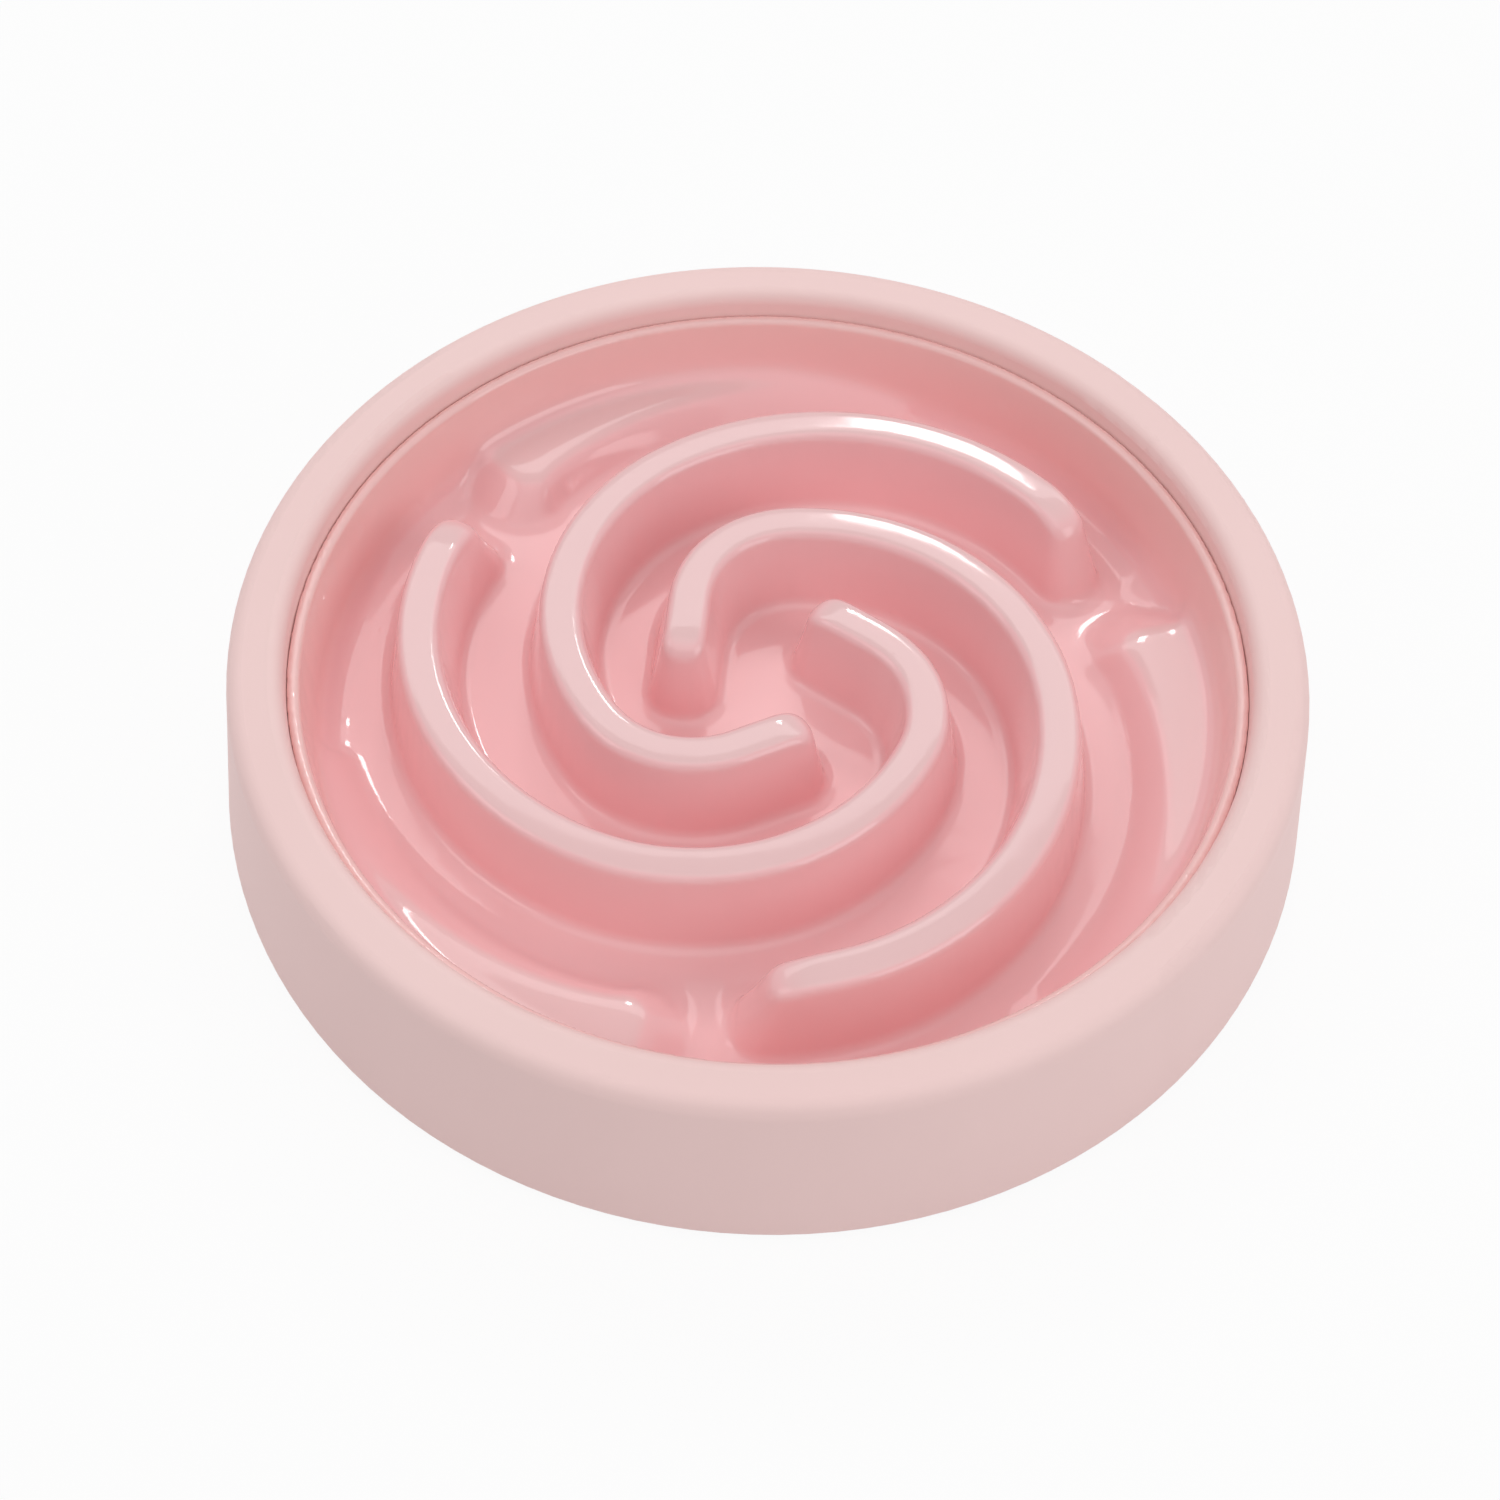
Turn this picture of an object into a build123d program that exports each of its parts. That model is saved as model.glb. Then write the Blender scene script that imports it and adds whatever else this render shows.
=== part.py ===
from build123d import *
import math
import os

# A slow feeder bowl: a matte outer bowl on rubber feet, and a loose dish with spiral ridges that drops into it.
# Sizes in millimetres. The origin is on the table under the middle of the bowl, +Z is up.

# Feeder insert: dish
dish_diameter = 166.6
dish_depth = 18.6
dish_wall = 1.9
dish_floor = 2.4
dish_foot_round = 6.5
lip_inner_round = 0.8
lip_outer_round = 0.5
lip_height = 2.0
wall_draft = 6.0

# Feeder insert: spiral ridges
ridge_spacing = 54.0
ridge_height = 16.9
ridge_top_width = 7.2
ridge_draft = 10.0
ridge_tail_draft = 22.0
ridge_end_corner = 3.0
ridge_edge_round = 1.6
ridge_foot_round = 2.0
ridge_start_radius = 15.6
ridge_start_angle = 179.0
ridge_start_heading = 86.3
ridge_straight = 13.8
ridge_arc_radii = (19.9, 43.7, 54.0)
ridge_arc_turns = (80.0, 87.9, 94.3)
ridge_wall_gap = 0.6

# Feeder insert: ledges that run out into the dish wall
ledge_height = 5.9
ledge_width = 14.9
ledge_mid_width = 6.9
ledge_sweep = 65.0
ledge_lead = 16.24
ledge_draft = 10.0
ledge_end_draft = 20.0
ledge_corner = 5.0
ledge_edge_round = 1.4
ledge_root_round = 4.0

# Outer bowl
side_gap = 0.3
seat_gap = 0.3
rim_width = 9.5
rim_step = 5.1
rim_outer_round = 3.0
rim_inner_round = 2.6
skirt_flare = 4.8
skirt_wall = 2.6
skirt_lift = 1.0
skirt_edge_round = 0.8
well_wall = 2.2
well_floor = 2.6
well_corner = 5.0
rib_count = 12
rib_thickness = 1.6
rib_recess = 6.0

# Rubber feet
foot_count = 6
foot_diameter = 14.6
foot_height = 6.1
foot_edge_round = 0.8
foot_inset = 20.0
foot_gap = 0.1
socket_wall = 1.9
socket_recess = 1.8

# How deep one feature of a moulding is sunk into the next
sink = 1.0

# Heights that follow from the sizes, from the table up
well_floor_z = foot_height + well_floor
dish_base_z = well_floor_z + seat_gap
dish_floor_z = dish_base_z + dish_floor
lip_z = dish_floor_z + dish_depth
lip_foot_z = lip_z - lip_height
rim_z = lip_z + rim_step
ridge_top_z = dish_floor_z + ridge_height
ledge_top_z = dish_floor_z + ledge_height
mid_floor_z = dish_floor_z - dish_floor / 2

# Radii that follow from the sizes, from the dish out, and one ridge for each spacing across the dish
wall_slope = math.tan(math.radians(wall_draft))
dish_radius = dish_diameter / 2
ridge_count = int(dish_diameter / ridge_spacing)
dish_foot_radius = dish_radius - dish_depth * wall_slope
flat_floor_radius = dish_foot_radius - dish_foot_round * math.tan(math.radians(45 - wall_draft / 2))
ridge_foot_width = ridge_top_width + 2 * ridge_height * math.tan(math.radians(ridge_draft))
ridge_reach = flat_floor_radius - ridge_wall_gap - ridge_foot_round - ridge_foot_width / 2
ledge_wall_radius = dish_radius - (lip_z - ledge_top_z) * wall_slope
mid_lip_radius = dish_radius + dish_wall / 2
mid_foot_radius = mid_lip_radius - (lip_z - mid_floor_z) * wall_slope
lip_radius = dish_radius + dish_wall
dish_base_radius = lip_radius - (lip_foot_z - dish_base_z) * wall_slope
well_radius = lip_radius + side_gap
well_foot_radius = well_radius - (lip_foot_z - well_floor_z) * wall_slope
well_back_radius = well_radius + well_wall
well_base_radius = well_back_radius - (lip_foot_z - foot_height) * wall_slope
rim_radius = well_radius + rim_width
base_radius = rim_radius + skirt_flare
skirt_slope = skirt_flare / (rim_z - skirt_lift)
rim_under_z = rim_z - skirt_wall
foot_circle = well_base_radius - foot_inset


def skirt_inside(height):
    return rim_radius + (rim_z - height) * skirt_slope - skirt_wall


def well_outside(height):
    return well_back_radius - max(0.0, lip_foot_z - height) * wall_slope


def polar(radius, angle):
    return (radius * math.cos(math.radians(angle)), radius * math.sin(math.radians(angle)))


# Middle line of a ridge: a short straight, then three arcs that open out clockwise.
# It is fitted to the dish so that its foot stays on the flat of the floor, clear of the wall's foot.
def ridge_arcs(fit):
    x, y = polar(ridge_start_radius * fit, ridge_start_angle)
    run = polar(ridge_straight * fit, ridge_start_heading)
    x, y, heading = x + run[0], y + run[1], ridge_start_heading
    arcs = []
    for radius, turn in zip(ridge_arc_radii, ridge_arc_turns):
        out = polar(radius * fit, heading + 90)
        centre = (x - out[0], y - out[1])
        arcs.append((centre, radius * fit, heading + 90, turn))
        heading -= turn
        tip = polar(radius * fit, heading + 90)
        x, y = centre[0] + tip[0], centre[1] + tip[1]
    return arcs, (x, y)


ridge_end = ridge_arcs(1.0)[1]
ridge_fit = ridge_reach / math.hypot(*ridge_end)
ledge_end_angle = math.degrees(math.atan2(ridge_end[1], ridge_end[0])) - ledge_lead
ledge_tip_angle = ledge_end_angle - ledge_sweep


# A ridge stands on the dish floor with drafted sides and round ends, and slopes down more at its outer end
with BuildPart() as ridge:
    for level, drop in ((dish_floor_z - sink, ridge_height + sink), (ridge_top_z, 0.0)):
        spread = drop * math.tan(math.radians(ridge_draft))
        reach = drop * math.tan(math.radians(ridge_tail_draft))
        half_width = ridge_top_width / 2 + spread
        arcs = ridge_arcs(ridge_fit)[0]
        centre, radius, start, turn = arcs[-1]
        arcs[-1] = (centre, radius, start, turn + math.degrees(reach / radius))
        back = Vector(*polar(ridge_straight * ridge_fit + spread, ridge_start_heading + 180))
        with BuildSketch(Plane.XY.offset(level)) as outline:
            with BuildLine():
                sides = []
                for side in (half_width, -half_width):
                    edges = []
                    for centre, radius, start, turn in arcs:
                        edges.append(CenterArc(centre, radius + side, start, -turn))
                    straight = Line(edges[0] @ 0 + back, edges[0] @ 0)
                    sides.append((straight @ 0, edges[-1] @ 1))
                for near, far in zip(*sides):
                    Line(near, far)
            make_face()
            corners = [outline.vertices().sort_by_distance(corner)[0] for side in sides for corner in side]
            fillet(corners, ridge_end_corner + spread)
    loft(ruled=True)
    fillet(ridge.faces().sort_by(Axis.Z)[-1].edges(), ridge_edge_round)

# A ledge is widest at its blunt end, which faces the outer end of a ridge, and runs out into the wall clockwise.
# It ends in the middle of the wall and of the floor, so nothing of it shows on the outside of the dish.
with BuildPart() as ledge:
    for level, drop in ((dish_floor_z - sink, ledge_height + sink), (ledge_top_z, 0.0)):
        wall_radius = ledge_wall_radius - drop * wall_slope
        spread = drop * math.tan(math.radians(ledge_draft))
        reach = drop * math.tan(math.radians(ledge_end_draft))
        end_angle = ledge_end_angle + math.degrees(reach / wall_radius)
        nose = polar(ledge_wall_radius - ledge_width - spread, end_angle)
        waist = polar(ledge_wall_radius - ledge_mid_width - spread, (ledge_tip_angle + ledge_end_angle) / 2)
        tip = polar(wall_radius + sink, ledge_tip_angle)
        root = polar(wall_radius + sink, end_angle)
        with BuildSketch(Plane.XY.offset(level)) as outline:
            with BuildLine():
                ThreePointArc(nose, waist, tip)
                RadiusArc(tip, root, -wall_radius - sink)
                Line(root, nose)
            make_face()
            fillet(outline.vertices().sort_by_distance(nose)[0], ledge_corner + spread)
    loft(ruled=True)
    brink = ledge.faces().sort_by(Axis.Z)[-1].edges()
    fillet(brink.sort_by_distance((0, 0, ledge_top_z))[:3], ledge_edge_round)
    with BuildSketch(Plane.XZ) as wall_middle:
        with BuildLine():
            Polyline(
                (0, mid_floor_z),
                (mid_foot_radius, mid_floor_z),
                (mid_lip_radius, lip_z),
                (0, lip_z),
                close=True,
            )
        make_face()
        foot_corner = wall_middle.vertices().sort_by_distance((mid_foot_radius, mid_floor_z))[0]
        fillet(foot_corner, dish_foot_round + dish_wall / 2)
    revolve(axis=Axis.Z, mode=Mode.INTERSECT)

with BuildPart() as feeder_insert:
    with BuildSketch(Plane.XZ) as profile:
        with BuildLine():
            Polyline(
                (0, dish_base_z),
                (dish_base_radius, dish_base_z),
                (lip_radius, lip_foot_z),
                (lip_radius, lip_z),
                (dish_radius, lip_z),
                (dish_foot_radius, dish_floor_z),
                (0, dish_floor_z),
                close=True,
            )
        make_face()
        for corner, size in (
            ((dish_foot_radius, dish_floor_z), dish_foot_round),
            ((dish_base_radius, dish_base_z), dish_foot_round + dish_wall),
            ((dish_radius, lip_z), lip_inner_round),
            ((lip_radius, lip_z), lip_outer_round),
        ):
            fillet(profile.vertices().sort_by_distance(corner)[0], size)
    revolve(axis=Axis.Z)
    with PolarLocations(0, ridge_count):
        add(ridge.part)
    on_floor = feeder_insert.edges().filter_by_position(Axis.Z, dish_floor_z - 0.01, dish_floor_z + 0.01)
    fillet(on_floor.sort_by(SortBy.LENGTH)[:-1], ridge_foot_round)
    with PolarLocations(0, ridge_count):
        add(ledge.part)
    on_ledges = feeder_insert.edges().filter_by_position(Axis.Z, ledge_top_z - 0.01, ledge_top_z + 0.01)
    fillet(on_ledges.filter_by(GeomType.CIRCLE), ledge_root_round)
feeder_insert.part.label = "feeder_insert"

# The outer bowl is one open-bottomed skin: skirt, rim and well, with ribs between skirt and well
with BuildPart() as outer_bowl:
    with BuildSketch(Plane.XZ) as profile:
        with BuildLine():
            Polyline(
                (0, foot_height),
                (well_base_radius, foot_height),
                (well_back_radius, lip_foot_z),
                (well_back_radius, rim_under_z),
                (skirt_inside(rim_under_z), rim_under_z),
                (skirt_inside(skirt_lift), skirt_lift),
                (base_radius, skirt_lift),
                (rim_radius, rim_z),
                (well_radius, rim_z),
                (well_radius, lip_foot_z),
                (well_foot_radius, well_floor_z),
                (0, well_floor_z),
                close=True,
            )
        make_face()
        for corner, size in (
            ((well_foot_radius, well_floor_z), well_corner),
            ((well_base_radius, foot_height), well_corner + well_wall),
            ((rim_radius, rim_z), rim_outer_round),
            ((well_radius, rim_z), rim_inner_round),
            ((base_radius, skirt_lift), skirt_edge_round),
            ((skirt_inside(skirt_lift), skirt_lift), skirt_edge_round),
        ):
            fillet(profile.vertices().sort_by_distance(corner)[0], size)
    revolve(axis=Axis.Z)
    rib_z = foot_height + rib_recess
    with BuildSketch(*[Plane.XZ.rotated((0, 0, 360 * n / rib_count)) for n in range(rib_count)]):
        with BuildLine():
            Polyline(
                (well_outside(rib_z) - sink, rib_z),
                (skirt_inside(rib_z) + sink, rib_z),
                (skirt_inside(rim_under_z) + sink, rim_under_z + sink),
                (well_back_radius - sink, rim_under_z + sink),
                (well_back_radius - sink, lip_foot_z),
                close=True,
            )
        make_face()
    extrude(amount=rib_thickness / 2, both=True)
    with BuildSketch(Plane.XY.offset(socket_recess)):
        with PolarLocations(foot_circle, foot_count):
            Circle(foot_diameter / 2 + foot_gap + socket_wall)
            Circle(foot_diameter / 2 + foot_gap, mode=Mode.SUBTRACT)
    extrude(amount=foot_height - socket_recess + sink)
outer_bowl.part.label = "outer_bowl"

os.makedirs("parts", exist_ok=True)
for moulding in (outer_bowl, feeder_insert):
    export_step(moulding.part, f"parts/{moulding.part.label}.step")

# Rubber feet: plugs pushed into the sockets under the bowl
for number in range(foot_count):
    with BuildPart() as foot:
        with BuildSketch():
            with Locations(polar(foot_circle, 360 * number / foot_count)):
                Circle(foot_diameter / 2)
        extrude(amount=foot_height)
        fillet(foot.edges().group_by(Axis.Z)[0], foot_edge_round)
    foot.part.label = f"rubber_foot_{number + 1}"
    export_step(foot.part, f"parts/{foot.part.label}.step")
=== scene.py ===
import bpy
import math
from mathutils import Matrix, Vector


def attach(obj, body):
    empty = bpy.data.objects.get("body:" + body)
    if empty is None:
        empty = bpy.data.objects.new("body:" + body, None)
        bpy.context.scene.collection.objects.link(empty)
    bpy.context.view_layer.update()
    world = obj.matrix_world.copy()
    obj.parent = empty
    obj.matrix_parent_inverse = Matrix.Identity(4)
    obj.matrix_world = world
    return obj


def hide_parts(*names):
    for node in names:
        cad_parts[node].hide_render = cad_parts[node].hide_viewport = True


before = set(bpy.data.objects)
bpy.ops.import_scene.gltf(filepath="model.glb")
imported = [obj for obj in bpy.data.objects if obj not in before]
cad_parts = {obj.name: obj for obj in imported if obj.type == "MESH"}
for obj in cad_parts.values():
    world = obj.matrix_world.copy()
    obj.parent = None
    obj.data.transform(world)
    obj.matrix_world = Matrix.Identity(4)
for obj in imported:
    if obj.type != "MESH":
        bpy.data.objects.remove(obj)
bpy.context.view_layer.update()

# Rubber feet
# Six soft plugs of pale grey rubber, moulded with a fine grain and pushed into the sockets under the bowl.
# They carry the bowl on the table and keep it from sliding.
feet = [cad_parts[f"rubber_foot_{number}"] for number in range(1, 7)]
foot_rubber = bpy.data.materials.new("foot_rubber")
foot_rubber.use_nodes = True
nodes = foot_rubber.node_tree.nodes
links = foot_rubber.node_tree.links
rubber = nodes["Principled BSDF"]
rubber.inputs["Specular IOR Level"].default_value = 0.3
place = nodes.new("ShaderNodeTexCoord")
wear = nodes.new("ShaderNodeTexNoise")
wear.inputs["Scale"].default_value = 180.0
wear.inputs["Detail"].default_value = 4.0
links.new(place.outputs["Object"], wear.inputs["Vector"])
tone = nodes.new("ShaderNodeValToRGB")
tone.color_ramp.elements[0].position = 0.35
tone.color_ramp.elements[0].color = (0.50, 0.47, 0.45, 1)
tone.color_ramp.elements[1].position = 0.7
tone.color_ramp.elements[1].color = (0.60, 0.57, 0.55, 1)
links.new(wear.outputs["Fac"], tone.inputs["Fac"])
links.new(tone.outputs["Color"], rubber.inputs["Base Color"])
dull = nodes.new("ShaderNodeMapRange")
dull.inputs["To Min"].default_value = 0.62
dull.inputs["To Max"].default_value = 0.82
links.new(wear.outputs["Fac"], dull.inputs["Value"])
links.new(dull.outputs["Result"], rubber.inputs["Roughness"])
grain = nodes.new("ShaderNodeTexNoise")
grain.inputs["Scale"].default_value = 2600.0
grain.inputs["Detail"].default_value = 2.0
links.new(place.outputs["Object"], grain.inputs["Vector"])
relief = nodes.new("ShaderNodeBump")
relief.inputs["Strength"].default_value = 0.25
relief.inputs["Distance"].default_value = 0.0002
links.new(grain.outputs["Fac"], relief.inputs["Height"])
links.new(relief.outputs["Normal"], rubber.inputs["Normal"])
for foot in feet:
    foot.data.materials.clear()
    foot.data.materials.append(foot_rubber)

# Outer bowl
# One thick-looking moulding of matte pale pink plastic: a flared skirt, a flat rim and a shallow well.
# It comes from a finely blasted mould, so it has a soft even sheen and no mirror highlights.
outer_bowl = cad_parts["outer_bowl"]
bowl_plastic = bpy.data.materials.new("bowl_plastic")
bowl_plastic.use_nodes = True
nodes = bowl_plastic.node_tree.nodes
links = bowl_plastic.node_tree.links
matte = nodes["Principled BSDF"]
matte.inputs["Specular IOR Level"].default_value = 0.35
place = nodes.new("ShaderNodeTexCoord")
cloud = nodes.new("ShaderNodeTexNoise")
cloud.inputs["Scale"].default_value = 22.0
cloud.inputs["Detail"].default_value = 3.0
links.new(place.outputs["Object"], cloud.inputs["Vector"])
tint = nodes.new("ShaderNodeValToRGB")
tint.color_ramp.elements[0].position = 0.3
tint.color_ramp.elements[0].color = (0.945, 0.68, 0.66, 1)
tint.color_ramp.elements[1].position = 0.7
tint.color_ramp.elements[1].color = (0.965, 0.70, 0.68, 1)
links.new(cloud.outputs["Fac"], tint.inputs["Fac"])
links.new(tint.outputs["Color"], matte.inputs["Base Color"])
sheen = nodes.new("ShaderNodeMapRange")
sheen.inputs["To Min"].default_value = 0.50
sheen.inputs["To Max"].default_value = 0.62
links.new(cloud.outputs["Fac"], sheen.inputs["Value"])
links.new(sheen.outputs["Result"], matte.inputs["Roughness"])
blast = nodes.new("ShaderNodeTexNoise")
blast.inputs["Scale"].default_value = 3200.0
blast.inputs["Detail"].default_value = 2.0
links.new(place.outputs["Object"], blast.inputs["Vector"])
relief = nodes.new("ShaderNodeBump")
relief.inputs["Strength"].default_value = 0.12
relief.inputs["Distance"].default_value = 0.0001
links.new(blast.outputs["Fac"], relief.inputs["Height"])
links.new(relief.outputs["Normal"], matte.inputs["Normal"])
outer_bowl.data.materials.clear()
outer_bowl.data.materials.append(bowl_plastic)

# Feeder insert
# A loose dish of glossy pink plastic with three spiral ridges and three ledges that run out into its wall.
# It is moulded in one piece with rounded edges and drops into the well of the outer bowl.
insert_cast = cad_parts["feeder_insert"]
bpy.ops.object.select_all(action="DESELECT")
insert = bpy.data.objects.new("glossy_insert", insert_cast.data.copy())
bpy.context.scene.collection.objects.link(insert)
bpy.context.view_layer.objects.active = insert
insert.select_set(True)
bpy.ops.object.mode_set(mode="EDIT")
bpy.ops.mesh.select_all(action="SELECT")
bpy.ops.mesh.remove_doubles(threshold=0.000002)
bpy.ops.object.mode_set(mode="OBJECT")
pitch = 120
turns = (0, pitch, 2 * pitch)
floor_level = 0.0114
ledge_level = 0.0173
ridge_level = 0.0283
lip_level = 0.030
lip_radius = 0.0852


def around(radius, angle):
    return Vector((radius * math.cos(math.radians(angle)), radius * math.sin(math.radians(angle))))


# The sides and the blunt end of each ledge slope gently down to the floor
ledge_start = -105.0
ledge_sweep = 65.0
brink_at_start, brink_at_tip = 0.0671, 0.0830
ledge_corner = 0.005
side_run, end_run = 0.0052, 0.0085
wall_foot = 0.0790
sunk = 0.0004
corner_steps = 9
first_step, last_step = 3, 40
for turn in turns:
    blunt_end = around(1, ledge_start + turn + 90)
    inward = around(-1, ledge_start + turn)
    outline = [(around(brink_at_tip, ledge_start + turn), blunt_end)]
    corner = around(brink_at_start + ledge_corner, ledge_start + turn) - blunt_end * ledge_corner
    for step in range(corner_steps + 1):
        bend = math.radians(90 * step / corner_steps)
        facing = blunt_end * math.cos(bend) + inward * math.sin(bend)
        outline.append((corner + facing * ledge_corner, facing))
    for step in range(first_step, last_step + 1):
        share = step / last_step
        angle = ledge_start + turn - ledge_sweep * share
        brink = brink_at_start + (brink_at_tip - brink_at_start) * share
        outline.append((around(brink, angle), around(-1, angle)))
    for step in range(last_step - 1, 0, -1):
        angle = ledge_start + turn - ledge_sweep * step / last_step
        outline.append((around(brink_at_tip, angle), Vector((0, 0))))
    count = len(outline)
    top = [spot.to_3d() + Vector((0, 0, ledge_level - sunk)) for spot, facing in outline]
    foot = []
    for spot, facing in outline:
        run = side_run + (end_run - side_run) * max(facing.dot(blunt_end), 0)
        reach = spot + facing * run
        reach *= min(wall_foot / reach.length, 1)
        foot.append(reach.to_3d() + Vector((0, 0, floor_level - sunk)))
    sides = [(k, count + k, count + (k + 1) % count, (k + 1) % count) for k in range(count)]
    faces = [tuple(range(count)), tuple(range(2 * count - 1, count - 1, -1))] + sides
    slope_mesh = bpy.data.meshes.new("ledge_slope")
    slope_mesh.from_pydata(top + foot, [], faces)
    slope = bpy.data.objects.new("ledge_slope", slope_mesh)
    bpy.context.scene.collection.objects.link(slope)
    slope.select_set(True)
bpy.ops.object.join()
bpy.ops.object.mode_set(mode="EDIT")
bpy.ops.mesh.select_all(action="SELECT")
bpy.ops.mesh.normals_make_consistent(inside=False)
bpy.ops.object.mode_set(mode="OBJECT")
skin = insert.modifiers.new("skin", "REMESH")
skin.mode = "VOXEL"
skin.voxel_size = 0.0006
bpy.ops.object.modifier_apply(modifier="skin")

# The ends of the ridges roll over before they drop to the floor
inner_end_radius, inner_end_angle, inner_heading = 0.0156, 179.0, 266.3
outer_end_radius, outer_end_angle, outer_heading = 0.0663, -88.8, -175.9
inner_roll_length, inner_roll_drop = 0.006, 0.0018
outer_roll_length, outer_roll_drop = 0.010, 0.0025
roll_past_end, steepest_roll = 2.2, 1.2
ridge_half_width = 0.008
inner_ends = [around(inner_end_radius, inner_end_angle + turn) for turn in turns]
outer_ends = [around(outer_end_radius, outer_end_angle + turn) for turn in turns]
rolls = []
for end, turn in zip(inner_ends, turns):
    rolls.append((end, around(1, inner_heading + turn), inner_roll_length, inner_roll_drop))
for end, turn in zip(outer_ends, turns):
    rolls.append((end, around(1, outer_heading + turn), outer_roll_length, outer_roll_drop))

# The moulding is rounded more softly at the ends of the ridges, and on the ledges and the corners round them
end_reach = 0.011
floor_skin = 0.0005
lip_depth = 0.0025
crest_depth, crest_radius = 0.0010, 0.076
angle_before_ledge, angle_after_ledge = 12, 6
ledge_margin, ledge_rise = 0.009, 0.006
half_wall, wall_lean = 0.002, 0.25
soft_inner = insert.vertex_groups.new(name="soft_inner")
soft_outer = insert.vertex_groups.new(name="soft_outer")
soft_ledges = insert.vertex_groups.new(name="soft_ledges")
soft_inside = insert.vertex_groups.new(name="soft_inside")
soft_crests = insert.vertex_groups.new(name="soft_crests")
for vertex in insert.data.vertices:
    spot = vertex.co
    if spot.z < lip_level - lip_depth:
        soft_inside.add([vertex.index], 1.0, "REPLACE")
    if spot.z < floor_level - floor_skin:
        continue
    if spot.z > ridge_level - crest_depth and spot.xy.length < crest_radius:
        soft_crests.add([vertex.index], 1.0, "REPLACE")
    for group, ends in ((soft_inner, inner_ends), (soft_outer, outer_ends)):
        share = 1 - min((spot.xy - end).length for end in ends) / end_reach
        if share > 0:
            group.add([vertex.index], share * share * (3 - 2 * share), "REPLACE")
    angle = math.degrees(math.atan2(spot.y, spot.x))
    past = (ledge_start + angle_before_ledge - angle) % pitch - angle_before_ledge
    brink = brink_at_start + (brink_at_tip - brink_at_start) * min(max(past / ledge_sweep, 0), 1)
    mid_wall = wall_foot + half_wall + wall_lean * (spot.z - floor_level)
    across = brink - ledge_margin < spot.xy.length < mid_wall
    if across and past < ledge_sweep + angle_after_ledge and spot.z < ledge_level + ledge_rise:
        soft_ledges.add([vertex.index], 1.0, "REPLACE")
    for end, heading, roll_length, roll_drop in rolls:
        gone = spot.xy - end
        rolled = gone.dot(heading) / roll_length + 1
        if 0 < rolled < roll_past_end and abs(gone.cross(heading)) < ridge_half_width:
            share = (spot.z - floor_level) / (ridge_level - floor_level)
            vertex.co.z -= roll_drop * min(rolled, steepest_roll) ** 2 * max(share, 0)
softness = (
    ("soft_inner", 14),
    ("soft_outer", 42),
    ("soft_ledges", 60),
    ("soft_crests", 12),
    ("soft_inside", 2),
)
for group, rounds in softness:
    soften = insert.modifiers.new(group, "SMOOTH")
    soften.vertex_group = group
    soften.factor = 0.5
    soften.iterations = rounds
    bpy.ops.object.modifier_apply(modifier=group)

# The lip stands close to the bowl, so only a hairline shows between them
lip_grow = 0.00025
lip_band, lip_skin = 0.0018, 0.0007
for vertex in insert.data.vertices:
    if vertex.co.z > lip_level - lip_band and vertex.co.xy.length > lip_radius - lip_skin:
        outward = vertex.co.xy.normalized() * lip_grow
        vertex.co += outward.to_3d()
thin = insert.modifiers.new("thin", "DECIMATE")
thin.ratio = 0.34
bpy.ops.object.modifier_apply(modifier="thin")
bpy.ops.object.shade_smooth()

# Painted light: raised flats are painted a little paler than the channels as painted highlight on the tops,
# and the thin wall under the lip is painted a shade warmer as painted warm light
flat_from, flat_range = 0.88, 0.10
raised_from, raised_range = 0.0035, 0.0015
wall_from, wall_range = 0.0805, 0.0025
crest_painted_light = insert.data.attributes.new("crest_painted_light", "FLOAT", "POINT")
wall_painted_light = insert.data.attributes.new("wall_painted_light", "FLOAT", "POINT")
for vertex in insert.data.vertices:
    flat = min(max((vertex.normal.z - flat_from) / flat_range, 0), 1)
    raised = min(max((vertex.co.z - floor_level - raised_from) / raised_range, 0), 1)
    crest_painted_light.data[vertex.index].value = flat * raised
    wall_painted_light.data[vertex.index].value = min(max((vertex.co.xy.length - wall_from) / wall_range, 0), 1)
dish_plastic = bpy.data.materials.new("dish_plastic")
dish_plastic.use_nodes = True
nodes = dish_plastic.node_tree.nodes
links = dish_plastic.node_tree.links
gloss = nodes["Principled BSDF"]
gloss.inputs["IOR"].default_value = 1.5
place = nodes.new("ShaderNodeTexCoord")
cloud = nodes.new("ShaderNodeTexNoise")
cloud.inputs["Scale"].default_value = 30.0
cloud.inputs["Detail"].default_value = 3.0
links.new(place.outputs["Object"], cloud.inputs["Vector"])
tint = nodes.new("ShaderNodeValToRGB")
tint.color_ramp.elements[0].position = 0.3
tint.color_ramp.elements[0].color = (0.945, 0.545, 0.557, 1)
tint.color_ramp.elements[1].position = 0.7
tint.color_ramp.elements[1].color = (0.957, 0.562, 0.574, 1)
links.new(cloud.outputs["Fac"], tint.inputs["Fac"])
# Painted highlight: the paler colour on raised up-facing flats stands in for the light the tops catch
crest_light_share = nodes.new("ShaderNodeAttribute")
crest_light_share.attribute_name = "crest_painted_light"
painted_crest_light = nodes.new("ShaderNodeMix")
painted_crest_light.data_type = "RGBA"
painted_crest_light.inputs["B"].default_value = (0.885, 0.575, 0.575, 1)
links.new(crest_light_share.outputs["Fac"], painted_crest_light.inputs["Factor"])
links.new(tint.outputs["Color"], painted_crest_light.inputs["A"])
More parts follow.
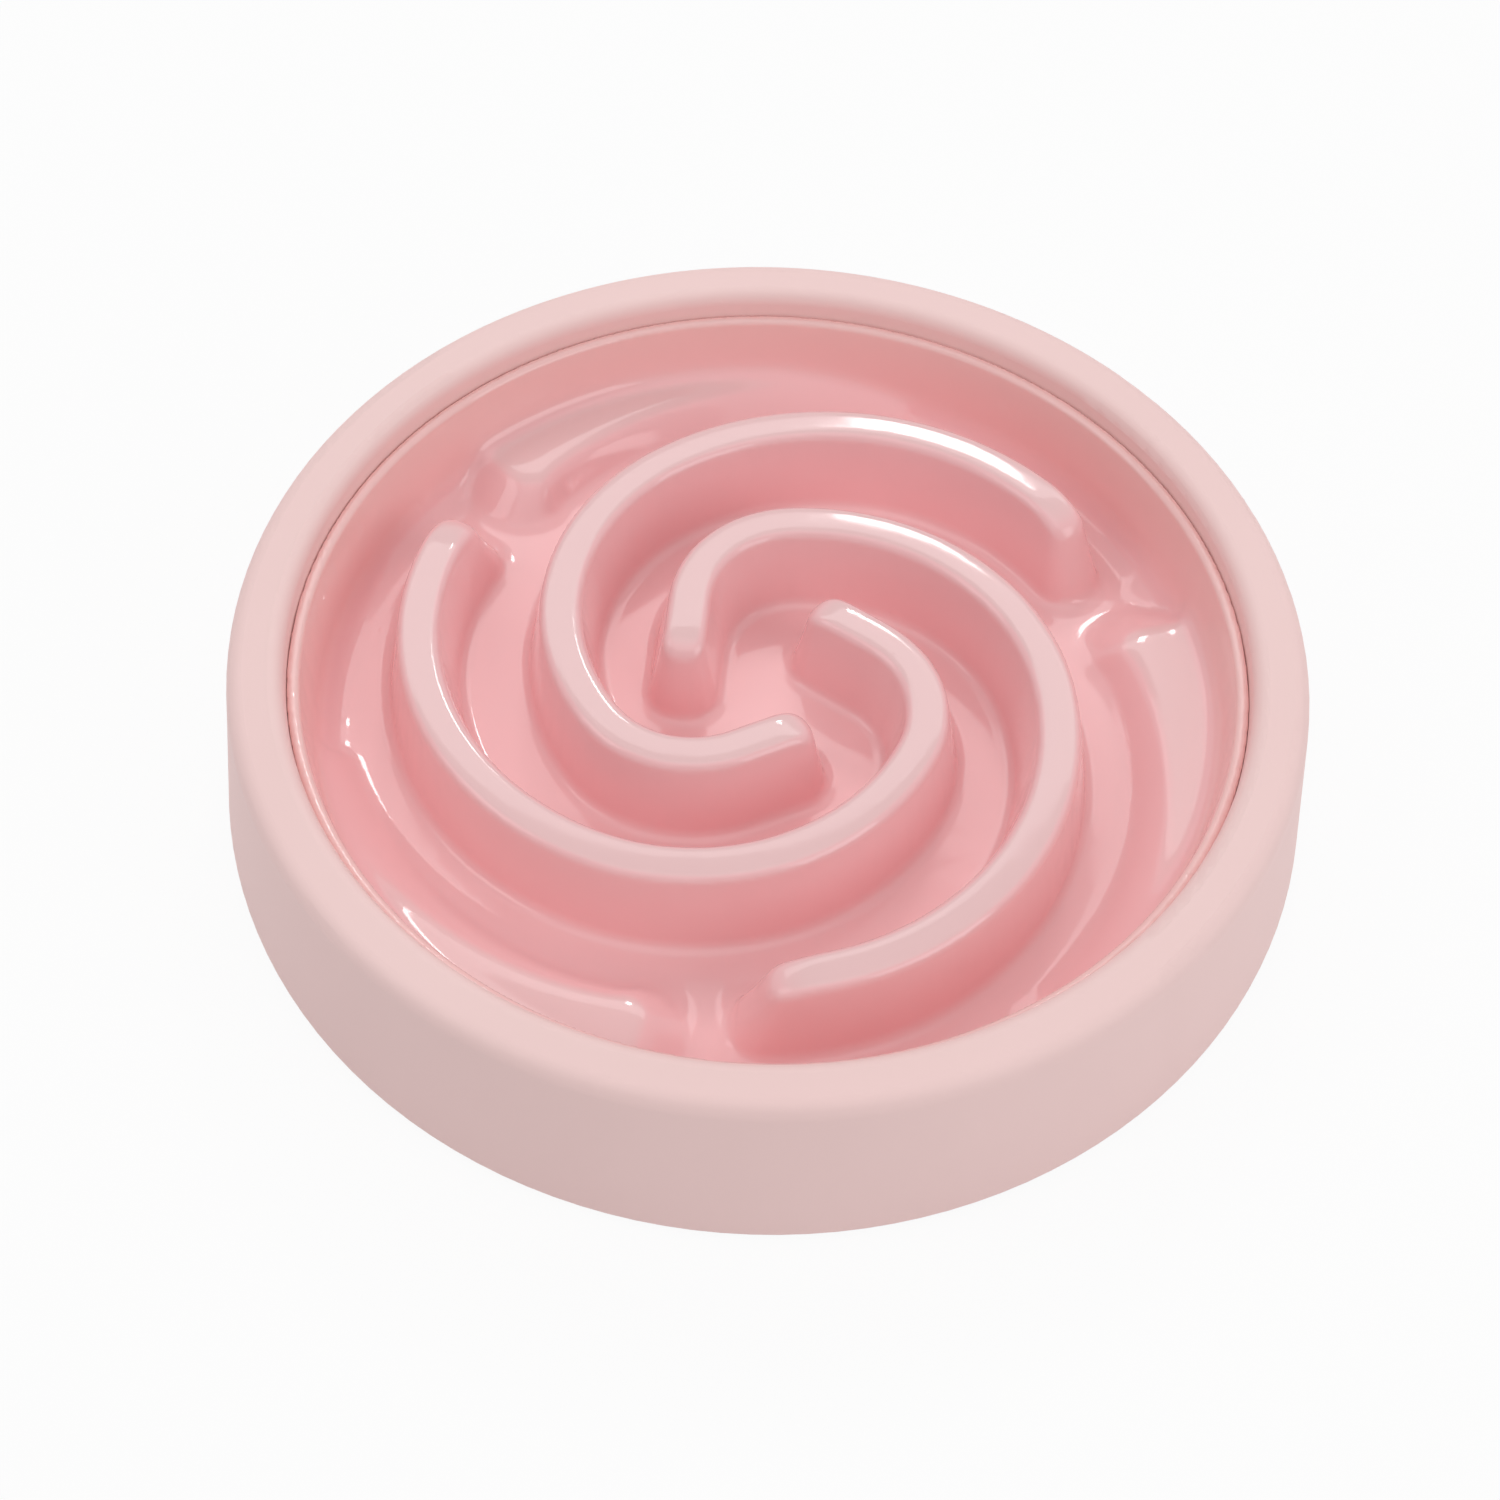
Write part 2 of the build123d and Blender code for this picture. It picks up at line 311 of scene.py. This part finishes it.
# Painted light: the warmer colour on the thin wall under the lip stands in for warm light on it
wall_light_share = nodes.new("ShaderNodeAttribute")
wall_light_share.attribute_name = "wall_painted_light"
painted_wall_warmth = nodes.new("ShaderNodeMix")
painted_wall_warmth.data_type = "RGBA"
painted_wall_warmth.inputs["B"].default_value = (0.970, 0.610, 0.590, 1)
links.new(wall_light_share.outputs["Fac"], painted_wall_warmth.inputs["Factor"])
links.new(painted_crest_light.outputs["Result"], painted_wall_warmth.inputs["A"])
links.new(painted_wall_warmth.outputs["Result"], gloss.inputs["Base Color"])
polish = nodes.new("ShaderNodeMapRange")
polish.inputs["To Min"].default_value = 0.06
polish.inputs["To Max"].default_value = 0.10
links.new(cloud.outputs["Fac"], polish.inputs["Value"])
links.new(polish.outputs["Result"], gloss.inputs["Roughness"])
ripple = nodes.new("ShaderNodeTexNoise")
ripple.inputs["Scale"].default_value = 160.0
ripple.inputs["Detail"].default_value = 1.0
links.new(place.outputs["Object"], ripple.inputs["Vector"])
relief = nodes.new("ShaderNodeBump")
relief.inputs["Strength"].default_value = 0.06
relief.inputs["Distance"].default_value = 0.0004
links.new(ripple.outputs["Fac"], relief.inputs["Height"])
links.new(relief.outputs["Normal"], gloss.inputs["Normal"])
insert.data.materials.clear()
insert.data.materials.append(dish_plastic)
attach(insert, "insert")
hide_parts("feeder_insert")

# Table
# A plain white sweep that the bowl stands on. It keeps a soft shadow under the skirt.
table_width = 6.0
table_level = -0.0002
bpy.ops.object.select_all(action="DESELECT")
bpy.ops.mesh.primitive_plane_add(size=table_width, location=(0, 0, table_level))
table = bpy.context.object
table.name = "table"
table_white = bpy.data.materials.new("table_white")
table_white.use_nodes = True
nodes = table_white.node_tree.nodes
links = table_white.node_tree.links
paper = nodes["Principled BSDF"]
paper.inputs["Base Color"].default_value = (0.85, 0.85, 0.85, 1)
paper.inputs["Roughness"].default_value = 0.9
paper.inputs["Specular IOR Level"].default_value = 0.0
glow = nodes.new("ShaderNodeEmission")
glow.inputs["Color"].default_value = (1, 1, 1, 1)
glow.inputs["Strength"].default_value = 1.0
seen = nodes.new("ShaderNodeLightPath")
shiny = nodes.new("ShaderNodeMath")
shiny.operation = "MAXIMUM"
links.new(seen.outputs["Is Glossy Ray"], shiny.inputs[0])
links.new(seen.outputs["Is Transmission Ray"], shiny.inputs[1])
direct = nodes.new("ShaderNodeMath")
direct.operation = "MAXIMUM"
links.new(seen.outputs["Is Camera Ray"], direct.inputs[0])
links.new(shiny.outputs["Value"], direct.inputs[1])
share = nodes.new("ShaderNodeMath")
share.operation = "MULTIPLY"
share.inputs[1].default_value = 0.92
links.new(direct.outputs["Value"], share.inputs[0])
blend = nodes.new("ShaderNodeMixShader")
links.new(share.outputs["Value"], blend.inputs["Fac"])
links.new(paper.outputs["BSDF"], blend.inputs[1])
links.new(glow.outputs["Emission"], blend.inputs[2])
links.new(blend.outputs["Shader"], nodes["Material Output"].inputs["Surface"])
table.data.materials.append(table_white)

# Studio light
# An even white room with a small bright window behind, seen as the streaks along the crests of the ridges.
# Soft panels behind, overhead, to the right and to the left fill the channels.
room = bpy.data.worlds.new("room")
bpy.context.scene.world = room
room.use_nodes = True
nodes = room.node_tree.nodes
links = room.node_tree.links
ambient = nodes["Background"]
ambient.inputs["Color"].default_value = (1, 1, 1, 1)
ambient.inputs["Strength"].default_value = 0.42
backdrop = nodes.new("ShaderNodeBackground")
backdrop.inputs["Color"].default_value = (1, 1, 1, 1)
backdrop.inputs["Strength"].default_value = 1.0
seen = nodes.new("ShaderNodeLightPath")
shiny = nodes.new("ShaderNodeMath")
shiny.operation = "MAXIMUM"
links.new(seen.outputs["Is Glossy Ray"], shiny.inputs[0])
links.new(seen.outputs["Is Transmission Ray"], shiny.inputs[1])
direct = nodes.new("ShaderNodeMath")
direct.operation = "MAXIMUM"
links.new(seen.outputs["Is Camera Ray"], direct.inputs[0])
links.new(shiny.outputs["Value"], direct.inputs[1])
shown = nodes.new("ShaderNodeMixShader")
links.new(direct.outputs["Value"], shown.inputs["Fac"])
links.new(ambient.outputs["Background"], shown.inputs[1])
links.new(backdrop.outputs["Background"], shown.inputs[2])
links.new(shown.outputs["Shader"], nodes["World Output"].inputs["Surface"])
lamps = (
    ("window", 82.2, 44.0, 1.2, 0.125, 0.15, 0.9),
    ("back_panel", 92.0, 50.0, 1.2, 1.70, 0.34, 3.0),
    ("top_panel", -90.0, 75.0, 1.2, 1.00, 1.00, 1.9),
    ("side_panel", -35.0, 30.0, 1.2, 0.70, 0.70, 2.8),
    ("left_panel", 190.0, 45.0, 1.2, 0.60, 0.60, 1.6),
)
for name, azimuth, height, distance, width, length, watts in lamps:
    lamp = bpy.data.lights.new(name, "AREA")
    lamp.shape = "RECTANGLE"
    lamp.size = width
    lamp.size_y = length
    lamp.energy = watts
    stand = bpy.data.objects.new(name, lamp)
    bpy.context.scene.collection.objects.link(stand)
    turn, rise = math.radians(azimuth), math.radians(height)
    spot = Vector((math.cos(turn) * math.cos(rise), math.sin(turn) * math.cos(rise), math.sin(rise)))
    stand.location = spot * distance
    stand.rotation_euler = spot.to_track_quat("Z", "Y").to_euler()

# Camera
# Above and in front of the bowl, a little rolled, as in the photograph.
elevation = math.radians(53.83)
roll = math.radians(1.99)
distance = 0.4465
pixels = 1500
focal_pixels = 2371
offset_right, offset_up = -15.0, -4.9
aim_height = 0.001
level = Vector((1, 0, 0))
rise = Vector((0, math.sin(elevation), math.cos(elevation)))
back = Vector((0, -math.cos(elevation), math.sin(elevation)))
image_right = math.cos(roll) * level + math.sin(roll) * rise
image_up = math.cos(roll) * rise - math.sin(roll) * level
place = (image_right * offset_right + image_up * offset_up) * distance / focal_pixels + back * distance
lens = bpy.data.cameras.new("photo_camera")
lens.sensor_width = 36.0
lens.lens = lens.sensor_width * focal_pixels / pixels
camera = bpy.data.objects.new("photo_camera", lens)
bpy.context.scene.collection.objects.link(camera)
camera.matrix_world = Matrix((image_right, image_up, back)).transposed().to_4x4()
camera.location = place + Vector((0, 0, aim_height))
bpy.context.scene.camera = camera
bpy.context.scene.view_settings.view_transform = "Standard"
